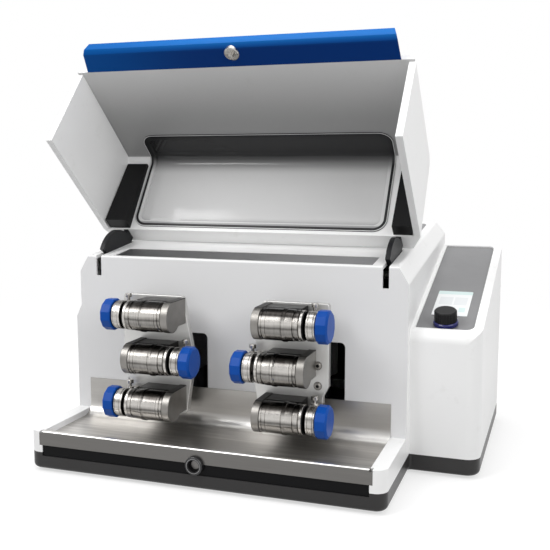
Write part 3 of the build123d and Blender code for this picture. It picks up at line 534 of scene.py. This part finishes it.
# Turned, ground and blasted metal

turnedSteel = {"ring": 0.0009, "streak": 0.0075, "streakReach": 40.0, "ringDepth": 0.000006}
turnings = {
    "turnedSteel": {"light": (0.62, 0.60, 0.57), "dark": (0.22, 0.21, 0.20), "roughness": 0.2,
                    "contrast": 1.0},
    "blockSteel": {"light": (0.36, 0.345, 0.325), "dark": (0.24, 0.23, 0.215), "roughness": 0.34,
                   "contrast": 0.6},
}


def lathed(g):
    # Fine rings round the X axis
    return g.noise(turnedSteel["ring"], 2.0, 0.5, (1, 0.006, 0.006))


def turned(name, light, dark, roughness, contrast):
    # Steel turned on a lathe along X: fine rings, long polishing streaks, some handling marks
    g = Graph(name)
    rings = lathed(g)
    streaks = g.noise(turnedSteel["streak"], 2.0, 0.45, (1 / turnedSteel["streakReach"], 1, 1))
    smear = g.noise(0.03, 3.0, 0.5)
    spread = 1.98 * (streaks - 0.5) + 0.25 * (rings - 0.5) + 0.3 * (smear - 0.5)
    tone = (0.5 + contrast * spread).clamped()
    rough = roughness + 0.06 * rings + 0.08 * smear
    return g.finish(Base_Color=g.mix(tone, dark, light), Metallic=1.0, Roughness=rough,
                    Normal=g.bump(rings, turnedSteel["ringDepth"]))


# Jars: the painted reflection bands are pairs of a share of the jar's height and a lightness
jarSteel = {
    "light": (0.56, 0.54, 0.512), "dark": (0.030, 0.027, 0.025), "roughness": 0.17,
    "radius": 0.0256, "waver": 0.05,
    "reflectionBands": ((0.00, 0.10), (0.06, 0.55), (0.13, 0.80), (0.20, 0.42), (0.30, 0.30),
              (0.40, 0.42), (0.46, 0.14), (0.51, 0.55), (0.58, 1.0), (0.67, 0.90),
              (0.74, 0.34), (0.80, 0.04), (0.90, 0.0), (1.00, 0.0)),
}


def makeJarSteel(name, axisZ):
    # Polished steel with painted reflection: soft light and dark bands across the jar's height,
    # dark near its top
    g = Graph(name)
    z = g.axes()[2]
    around = (z - axisZ) / (2 * jarSteel["radius"]) + 0.5
    waver = g.noise(0.02, 2.0, 0.5, (0.5, 1, 1))
    stops = [(place, (level, level, level)) for place, level in jarSteel["reflectionBands"]]
    reflectionBands = g.node("ShaderNodeValToRGB", {"stops": stops},
                   Fac=around + jarSteel["waver"] * (waver - 0.5))
    level = Value(g, reflectionBands.outputs["Color"])
    rings = lathed(g)
    smear = g.noise(0.012, 3.0, 0.55)
    tone = (level + 0.20 * (rings - 0.5) + 0.22 * (smear - 0.5)).clamped()
    rough = jarSteel["roughness"] + 0.06 * rings + 0.06 * smear
    return g.finish(Base_Color=g.mix(tone, jarSteel["dark"], jarSteel["light"]), Metallic=1.0,
                    Roughness=rough, Normal=g.bump(rings, turnedSteel["ringDepth"]))


# End blocks
# top is painted shade: the blocks' flat top is painted near black
blockSteel = {
    "light": (0.29, 0.278, 0.262), "dark": (0.19, 0.182, 0.17), "top": (0.016, 0.0145, 0.013),
    "shadedTopHeight": 0.0238, "roughness": 0.32, "shine": 0.15,
}


def makeBlockSteel(name, axisZ):
    # Ground steel, with painted shade making its flat top near black
    g = Graph(name)
    z = g.axes()[2]
    top = z.above(axisZ + blockSteel["shadedTopHeight"], 0.0004)
    grain = g.noise(0.0008, 2.0, 0.5, (1, 0.02, 1))
    smear = g.noise(0.02, 3.0, 0.5)
    sides = g.mix(smear, blockSteel["dark"], blockSteel["light"])
    return g.finish(Base_Color=g.mix(top, sides, blockSteel["top"]), Metallic=1 - 0.9 * top,
                    Specular_IOR_Level=blockSteel["shine"], Normal=g.bump(grain, 0.000006),
                    Roughness=blockSteel["roughness"] + 0.08 * grain + 0.06 * smear)


def rowOf(number):
    # Stations of one height share their steel; rows are counted from the top
    return (number - 1) % 3 + 1


plateAlloy = {"colour": (0.66, 0.655, 0.64), "darker": 0.82, "metal": 0.85, "roughness": 0.36}


def makePlateAlloy():
    # Bead-blasted aluminium
    g = Graph("plateAlloy")
    grain = g.noise(0.0007, 3.0, 0.6)
    cloud = g.noise(0.05, 2.0)
    dark = tuple(c * plateAlloy["darker"] for c in plateAlloy["colour"])
    return g.finish(Base_Color=g.mix(cloud, dark, plateAlloy["colour"]),
                    Metallic=plateAlloy["metal"], Normal=g.bump(grain, 0.00005),
                    Roughness=plateAlloy["roughness"] + 0.15 * grain)


# Strip in the housing's top

strip = {"left": (0.045, 0.045, 0.047), "right": (0.19, 0.19, 0.195), "from": 0.06}


def makeStrip():
    # Satin grey sheet, paler towards the column
    g = Graph("stripGrey")
    x = g.axes()[0]
    low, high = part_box("recess_strip")
    along = g.step(x, low[0] + strip["from"], high[0])
    grain = g.noise(0.0012, 2.0, 0.6)
    cloud = g.noise(0.06, 3.0)
    return g.finish(Base_Color=g.mix(along, strip["left"], strip["right"]), Specular_IOR_Level=0.3,
                    Roughness=0.32 + 0.10 * cloud, Normal=g.bump(grain, 0.00004))


# Display: a header, two value tiles, thin rules and a button, all without words

# Places are shares of the display's width and height
screen = {
    "paper": (0.72, 0.735, 0.74), "head": (0.56, 0.68, 0.67), "tile": (0.64, 0.66, 0.67),
    "line": (0.60, 0.62, 0.63), "glow": 0.12, "soft": 0.006, "headFrom": 0.86,
    "tiles": ((0.10, 0.48), (0.53, 0.90)), "tileRise": (0.42, 0.74),
    "rules": (0.14, 0.23, 0.32), "ruleAcross": (0.10, 0.62), "ruleHeight": 0.03,
    "button": (0.72, 0.90), "buttonRise": (0.14, 0.32),
}


def makeScreen():
    g = Graph("screen")
    x, y = g.axes()[:2]
    low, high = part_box("display_screen")
    rise = (y - low[1]) / (high[1] - low[1])
    side = (x - low[0]) / (high[0] - low[0])
    soft = screen["soft"]

    def block(across, up):
        return side.between(*across, soft) * rise.between(*up, soft)

    colour = g.mix(rise.above(screen["headFrom"], soft), screen["paper"], screen["head"])
    for across in screen["tiles"]:
        colour = g.mix(block(across, screen["tileRise"]), colour, screen["tile"])
    for height in screen["rules"]:
        rule = block(screen["ruleAcross"], (height, height + screen["ruleHeight"]))
        colour = g.mix(0.8 * rule, colour, screen["line"])
    colour = g.mix(block(screen["button"], screen["buttonRise"]), colour, screen["head"])
    smear = g.noise(0.05, 2.0)
    return g.finish(Base_Color=colour, Roughness=0.10 + 0.05 * smear,
                    Emission_Color=colour, Emission_Strength=screen["glow"])


# Lock receptacle

lockRing = {
    "core": 0.0066, "line": 0.0107, "lineWidth": 0.0007,
    "steel": (0.16, 0.155, 0.15), "dark": (0.012, 0.012, 0.013), "rim": (0.30, 0.30, 0.30),
}


def makeLockRing():
    # A black ring with a thin bright line, round a steel core
    g = Graph("lockRing")
    x, _, z = g.axes()
    low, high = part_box("lock_receptacle")
    across = x - (low[0] + high[0]) / 2
    up = z - (low[2] + high[2]) / 2
    away = (across * across + up * up).maths("SQRT")
    core = 1 - away.above(lockRing["core"], 0.0002)
    line = away.between(lockRing["line"], lockRing["line"] + lockRing["lineWidth"], 0.0003)
    grain = g.noise(0.0008, 3.0)
    colour = g.mix(core, lockRing["dark"], lockRing["steel"])
    colour = g.mix(line, colour, lockRing["rim"])
    return g.finish(Base_Color=colour, Metallic=core, Roughness=0.26 + 0.14 * grain,
                    Normal=g.bump(grain, 0.00003))


# Which finish each node wears

finishes = {
    "whitePaint": makeWhitePaint(), "wallPaint": makeWallPaint(), "lidPaint": makeLidPaint(),
    "windowTrim": makeWindowTrim(), "tintedPaneWithReflection": makePane(), "barBlue": makeBarBlue(),
    "traySteel": makeTraySteel(), "plateAlloy": makePlateAlloy(), "stripGrey": makeStrip(),
    "screen": makeScreen(), "lockRing": makeLockRing(),
}
for name, look in plastics.items():
    finishes[name] = plastic(name, **look)
for name, look in turnings.items():
    finishes[name] = turned(name, **look)
for number in (1, 2, 3):
    low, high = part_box(f"jar_{number}")
    axisZ = (low[2] + high[2]) / 2
    finishes[f"jarSteelRow{number}"] = makeJarSteel(f"jarSteelRow{number}", axisZ)
    finishes[f"blockSteelRow{number}"] = makeBlockSteel(f"blockSteelRow{number}", axisZ)
print("finishes made")

finishOfNode = {
    "base_pan": "baseGrey", "rubber_feet": "footRubber", "chamber_body": "wallPaint",
    "housing_shell": "whitePaint", "recess_strip": "stripGrey", "top_inset_panel": "panelGrey",
    "hinge_shaft": "turnedSteel", "chamber_tray": "traySteel", "front_seal": "sealRubber",
    "lock_receptacle": "lockRing", "rear_panel": "baseGrey", "fan_guard": "blackPlastic",
    "fan_rotor": "blackPlastic", "mains_inlet": "blackPlastic", "power_switch": "blackPlastic",
    "column_housing": "whitePaint", "column_panel": "panelGrey", "display_screen": "screen",
    "knob_ring": "ringBlue", "control_knob": "blackPlastic", "drive_frame": "castIron",
    "drive_motor": "motorPaint", "eccentric_shaft": "turnedSteel", "lid_shell": "lidPaint",
    "lid_window": "tintedPaneWithReflection", "window_seal": "windowTrim", "handle_bar": "barBlue",
    "lock_bolt": "turnedSteel",
}
finishOfFamily = {
    "swing_plate": "plateAlloy", "swing_beam": "plateAlloy", "jar": "turnedSteel",
    "clamp_pad": "turnedSteel", "clamp_knob": "knobBlue", "lock_pin": "turnedSteel",
    "hinge_arm": "armGrey", "arm_cover": "blackPlastic",
}


def dressNodes():
    for name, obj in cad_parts.items():
        finish = finishOfNode.get(name) or finishOfFamily[name.rsplit("_", 1)[0]]
        for slot in obj.material_slots:
            slot.material = finishes[finish]


dressNodes()
print("nodes dressed")


# Clamping stations on the swing arms

# Measures in mm, radii unless they are called across, length, gap or depth
station = {
    "knobAcross": 51.5, "knobLength": 18.5, "knobEdge": 3.6, "cup": 22.0, "cupDepth": 6.0,
    "collarGap": 1.0, "collarLength": 14.2, "collarRadius": 22.8, "padGap": 4.0,
    "padLength": 6.7, "padRadius": 23.3, "ringBulge": 1.0, "jarRadius": 24.3, "jarRidge": 25.6,
    "jarNeck": 22.3, "jarLength": 61.5, "ridgeAt": 24.0, "ridgeWidth": 7.0, "rim": 6.0,
    "blockLength": 12.0, "blockRadius": 24.8, "blockBelow": 17.0, "spindle": 9.0,
    "footHalf": 16.0, "bossRadius": 6.0, "pitch": 1.4, "threadDepth": 0.6,
}
# How far inside its node's outer face each knob's face lies
knobSetback = {1: 13.4, 2: 7.9, 3: 13.4, 4: 3.9, 5: 17.4, 6: 3.9}
# The left plate, in mm from the left front corner of the floor plan; the right one mirrors it
plateShape = {
    "front": 112.0, "back": 124.0, "edge": 1.2, "mirror": 290.5,
    "corners": ((123.5, 84.0, 0), (226.0, 84.0, 8), (241.0, 175.0, 60), (222.0, 279.0, 5),
                (114.5, 279.0, 5), (114.5, 150.0, 0), (123.5, 132.0, 0)),
    "screwRadius": 6.2, "screwHeight": 2.6, "screwSocket": 2.4, "screwSide": 449.5,
    "screwHeights": (182.0, 150.0),
}


def stationPlaces(number):
    # The middle of the knob's outer face, and which way the station runs along X
    knobLow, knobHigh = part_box(f"clamp_knob_{number}")
    jarLow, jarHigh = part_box(f"jar_{number}")
    axisY = (jarLow[1] + jarHigh[1]) / 2
    axisZ = (jarLow[2] + jarHigh[2]) / 2
    way = 1 if jarLow[0] + jarHigh[0] > knobLow[0] + knobHigh[0] else -1
    outer = knobLow[0] if way > 0 else knobHigh[0]
    start = outer + way * knobSetback[number] * mm
    return Vector((start, axisY, axisZ)), way


def stationFrame(number, along):
    # A frame on the station's axis, along mm behind the knob's outer face
    start, way = stationPlaces(number)
    return aim(start + Vector((way * along * mm, 0, 0)), (way, 0, 0))


# Where each part of a station begins, in mm behind the knob's outer face

def collarStart():
    return station["knobLength"] + station["collarGap"]


def padStart():
    return collarStart() + station["collarLength"] + station["padGap"]


def jarStart():
    return padStart() + station["padLength"] + 0.3


def blockStart():
    return jarStart() + station["jarLength"]


def makeKnob(number):
    # A twelve-sided grip, open behind, on its threaded spindle
    outer, length, edge = station["knobAcross"] / 2, station["knobLength"], station["knobEdge"]
    bm = bmesh.new()
    grip = [(0, outer - edge), (edge * 0.8, outer), (length - 1, outer), (length, outer - 1.2),
            (length, station["cup"]), (length - station["cupDepth"], station["cup"] - 1)]
    lathe(bm, stationFrame(number, 0), grip, 12)
    knob = makePiece(f"knobGrip.{number}", bm, "knobBlue", f"grip_{number}",
                     sharp=20, edge=0.7)
    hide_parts(f"clamp_knob_{number}")
    bm = bmesh.new()
    hub = station["spindle"]
    profile = [(length - station["cupDepth"] + 0.1, hub + 4), (length - 2, hub + 4),
               (length - 1.6, hub)]
    pitch, root = station["pitch"], hub - station["threadDepth"]
    place = length - 1
    while place < padStart() + 3:
        profile += [(place, hub), (place + pitch / 2, root), (place + pitch, hub)]
        place += pitch
    lathe(bm, stationFrame(number, 0), profile, 48)
    makePiece(f"knobSpindle.{number}", bm, "turnedSteel", f"grip_{number}")


def makePad(number):
    # The pressure pad with its black ring
    bm = bmesh.new()
    edge, length = station["padRadius"], station["padLength"]
    profile = [(0, edge - 2.4), (2.0, edge - 2.4), (2.0, edge - 0.6), (2.6, edge),
               (length - 1, edge), (length, edge - 1)]
    lathe(bm, stationFrame(number, padStart()), profile)
    pad = makePiece(f"pad.{number}", bm, "turnedSteel", f"clamp_{number}",
                    edge=0.2)
    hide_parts(f"clamp_pad_{number}")
    bm = bmesh.new()
    bulge = station["ringBulge"]
    ring = [(1.0 + bulge * along, edge - 2.0 + bulge * out)
            for along, out in arc((0, 0), 1, 180, 0, 10)]
    lathe(bm, stationFrame(number, padStart()), ring)
    makePiece(f"padRing.{number}", bm, "sealRubber", f"clamp_{number}")


def makeJarShape(number, body):
    # Two halves that meet at the ridge, with a grooved rim at each end
    r, ridge, neck = station["jarRadius"], station["jarRidge"], station["jarNeck"]
    length, rim = station["jarLength"], station["rim"]
    low = station["ridgeAt"] - station["ridgeWidth"] / 2
    high = station["ridgeAt"] + station["ridgeWidth"] / 2
    lidEnd = [(0, neck), (0.8, r - 0.6), (rim, r - 0.6), (rim + 0.8, neck), (rim + 2.2, neck),
              (rim + 3.2, r - 0.3), (rim + 8, r)]
    joint = [(low, r), (low + 1, ridge - 0.2), (high - 2.6, ridge), (high - 2.2, ridge - 0.9),
             (high - 1.8, ridge), (high - 1, ridge), (high, r)]
    line = [(length - rim - 5.0, r), (length - rim - 4.6, r - 0.7), (length - rim - 4.2, r)]
    blockEnd = [(length - rim, r), (length - rim + 0.8, neck + 0.6),
                (length - rim + 1.8, neck + 0.6), (length - rim + 2.6, r - 0.4),
                (length - 1, r - 0.4), (length, neck)]
    bm = bmesh.new()
    lathe(bm, stationFrame(number, jarStart()), lidEnd + joint + line + blockEnd, 96)
    jar = makePiece(f"jarBody.{number}", bm, f"jarSteelRow{rowOf(number)}", body,
                    sharp=28)
    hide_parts(f"jar_{number}")


def sideProfile(number, corners):
    # A function that sets an outline of (y, z) points at a place along the station's axis
    start, way = stationPlaces(number)

    def at(along):
        x = start.x + way * along * mm
        return [Vector((x, start.y + y * mm, start.z + z * mm)) for y, z in corners]
    return at


def makeHolder(number, body, back):
    # The collar, the D-shaped end block and the saddle under the jar, which reach back to the
    # plate, and the boss round the lock pin
    start = stationPlaces(number)[0]
    depth = (back - start.y) / mm + 1
    bm = bmesh.new()
    r, length = station["collarRadius"], station["collarLength"]
    bore = station["spindle"] + 0.4
    collar = [(0, bore), (0, r - 1.6), (1.0, r - 0.8), (2.2, r - 0.8), (2.6, r - 1.5),
              (3.2, r - 1.5), (3.6, r), (length - 4.2, r), (length - 3.8, r - 0.8),
              (length - 3.2, r - 0.8),
              (length - 2.8, r), (length - 0.8, r), (length, r - 0.8), (length, bore)]
    lathe(bm, stationFrame(number, collarStart()), collar, 96)
    half = station["footHalf"]
    at = sideProfile(number, [(8, half), (depth, half), (depth, -half), (8, -half)])
    loft(bm, at(collarStart() + 1.5), at(collarStart() + length - 1.5))
    makePiece(f"collar.{number}", bm, "turnedSteel", body, sharp=28, edge=0.2)

    bm = bmesh.new()
    r, low = station["blockRadius"], station["blockBelow"]
    lowAngle = math.degrees(math.asin(low / r))
    shape = arc((0, 0), r, 90, 360 - lowAngle, 40) + [(depth, -low), (depth, r)]
    at = sideProfile(number, shape)
    loft(bm, at(blockStart()), at(blockStart() + station["blockLength"]))
    makePiece(f"endBlock.{number}", bm, f"blockSteelRow{rowOf(number)}", body,
              sharp=28, edge=0.8)

    bm = bmesh.new()
    r = station["jarRidge"] + 0.6
    top, low = station["blockRadius"] - 1.2, station["blockBelow"] - 1
    first, last = math.degrees(math.asin(top / r)), -math.degrees(math.asin(low / r))
    shape = arc((0, 0), r, first, last, 24) + [(depth, -low), (depth, top)]
    at = sideProfile(number, shape)
    loft(bm, at(jarStart() + 4), at(blockStart()))
    # The saddle's near-black finish is painted shade
    makePiece(f"saddle.{number}", bm, "saddleSteelShaded", body, sharp=28)

    bm = bmesh.new()
    pinLow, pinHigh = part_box(f"lock_pin_{number}")
    foot = Vector(((pinLow[0] + pinHigh[0]) / 2, (pinLow[1] + pinHigh[1]) / 2, start.z))
    radius = station["bossRadius"]
    boss = [(6, radius), (18, radius), (18.6, radius - 0.6), (18.6, 2.9), (8, 2.9)]
    lathe(bm, aim(foot, (0, 0, 1)), boss, 40)
    makePiece(f"pinBoss.{number}", bm, "turnedSteel", body, edge=0.2)


def makeScrew(bm, place):
    # A washer and a socket head that face the front
    radius, height = plateShape["screwRadius"], plateShape["screwHeight"]
    socket = plateShape["screwSocket"]
    facing = aim(place, (0, -1, 0))
    lathe(bm, facing, [(0, radius), (0.8, radius), (1.0, radius - 0.3), (1.0, radius - 1.6),
                       (height, radius - 1.6), (height + 0.5, radius - 2.2),
                       (height + 0.5, socket), (1.2, socket - 0.1)], 36)


def makePlate(side, numbers):
    # The plate keeps its node's outline, and the stations stand on its front
    body = f"swing_arm_{side}"
    outline = roundedOutline(plateShape["corners"])
    screwX = plateShape["screwSide"]
    if side == "right":
        outline = [(plateShape["mirror"] * 2 - x, z) for x, z in outline]
    else:
        screwX = plateShape["mirror"] * 2 - screwX
    front, back = plateShape["front"], plateShape["back"]
    bm = bmesh.new()
    loft(bm, [atMm(x, front, z) for x, z in outline], [atMm(x, back, z) for x, z in outline])
    plate = makePiece(f"plate.{side}", bm, "plateAlloy", body, sharp=30,
                      edge=plateShape["edge"])
    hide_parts(f"swing_plate_{side}")
    bm = bmesh.new()
    for height in plateShape["screwHeights"]:
        makeScrew(bm, atMm(screwX, front, height))
    makePiece(f"plateScrews.{side}", bm, "blockSteel", body, sharp=30)
    bm = bmesh.new()
    outer, socket = plateShape["screwRadius"] + 0.5, plateShape["screwSocket"] + 0.6
    for height in plateShape["screwHeights"]:
        facing = aim(atMm(screwX, front, height), (0, -1, 0))
        lathe(bm, facing, [(0.1, outer), (0.4, outer)], 40)
        lathe(bm, facing, [(3.0, socket), (3.3, socket - 0.2)], 6)
    makePiece(f"screwShadow.{side}", bm, "sealRubber", body, sharp=20)
    for number in numbers:
        makeHolder(number, body, atMm(0, front, 0).y)
        makeJarShape(number, body)
        makeKnob(number)
        makePad(number)


makePlate("left", (1, 2, 3))
makePlate("right", (4, 5, 6))
print("stations made")


# Studio

studio = {
    "floorSize": 14.0, "floorColour": (0.42, 0.42, 0.42), "floorLift": 0.62, "fadeFrom": 0.75,
    "fadeTo": 2.2, "white": (1.0, 1.0, 1.0), "worldLight": 0.48, "target": (0, 0, 0.3),
}
lamps = {
    "keyLamp": {"place": (-1.6, -1.8, 2.6), "size": (1.6, 1.6), "power": 55},
    "fillLamp": {"place": (2.2, -1.6, 1.8), "size": (1.8, 1.8), "power": 38},
    "topLamp": {"place": (0, 0.4, 3.0), "size": (2.4, 2.0), "power": 34},
}


def addLamp(name, place, size, power):
    data = bpy.data.lights.new(name, "AREA")
    data.shape = "RECTANGLE"
    data.size = size[0]
    data.size_y = size[1]
    data.energy = power
    obj = bpy.data.objects.new(name, data)
    obj.location = place
    direction = Vector(studio["target"]) - Vector(place)
    obj.rotation_euler = direction.to_track_quat("-Z", "Y").to_euler()
    bpy.context.collection.objects.link(obj)


def cameraSees(g):
    # 1 for what the camera sees straight, in a reflection or through the window
    rays = g.node("ShaderNodeLightPath").outputs
    glossy = Value(g, rays["Is Glossy Ray"])
    through = Value(g, rays["Is Transmission Ray"])
    seen = Value(g, rays["Is Camera Ray"]) + glossy + through
    return seen.maths("MINIMUM", 1.0)


def addFloor():
    # Pale matte floor that keeps the object's shadow and runs out into white
    half = studio["floorSize"] / 2
    bm = bmesh.new()
    square = ((-half, -half), (half, -half), (half, half), (-half, half))
    bm.faces.new([bm.verts.new((x, y, 0)) for x, y in square])
    mesh = bpy.data.meshes.new("floor")
    bm.to_mesh(mesh)
    bm.free()
    floor = bpy.data.objects.new("floor", mesh)
    bpy.context.collection.objects.link(floor)
    g = Graph("studioFloor")
    x, y = g.axes()[:2]
    away = (x * x + y * y).maths("SQRT")
    far = g.step(away, studio["fadeFrom"], studio["fadeTo"])
    seen = cameraSees(g)
    matte = g.node("ShaderNodeBsdfDiffuse", Color=studio["floorColour"]).outputs[0]
    lift = g.node("ShaderNodeEmission", Color=studio["white"],
                  Strength=studio["floorLift"]).outputs[0]
    white = g.node("ShaderNodeEmission", Color=studio["white"], Strength=1.0).outputs[0]
    lifted = g.node("ShaderNodeAddShader", n0=matte, n1=lift).outputs[0]
    near = g.node("ShaderNodeMixShader", n0=seen, n1=matte, n2=lifted).outputs[0]
    shader = g.node("ShaderNodeMixShader", n0=seen * far, n1=near, n2=white).outputs[0]
    mesh.materials.append(g.show(shader))


def addWorld():
    world = bpy.data.worlds.new("studioWorld")
    bpy.context.scene.world = world
    g = Graph("studioWorld", world)
    light = g.node("ShaderNodeBackground", Color=studio["white"],
                   Strength=studio["worldLight"]).outputs[0]
    white = g.node("ShaderNodeBackground", Color=studio["white"], Strength=1.0).outputs[0]
    mixed = g.node("ShaderNodeMixShader", n0=cameraSees(g), n1=light, n2=white).outputs[0]
    g.show(mixed, "ShaderNodeOutputWorld")


addFloor()
addWorld()
for name, lamp in lamps.items():
    addLamp(name, **lamp)
bpy.context.scene.view_settings.view_transform = "Standard"
print("studio lit")
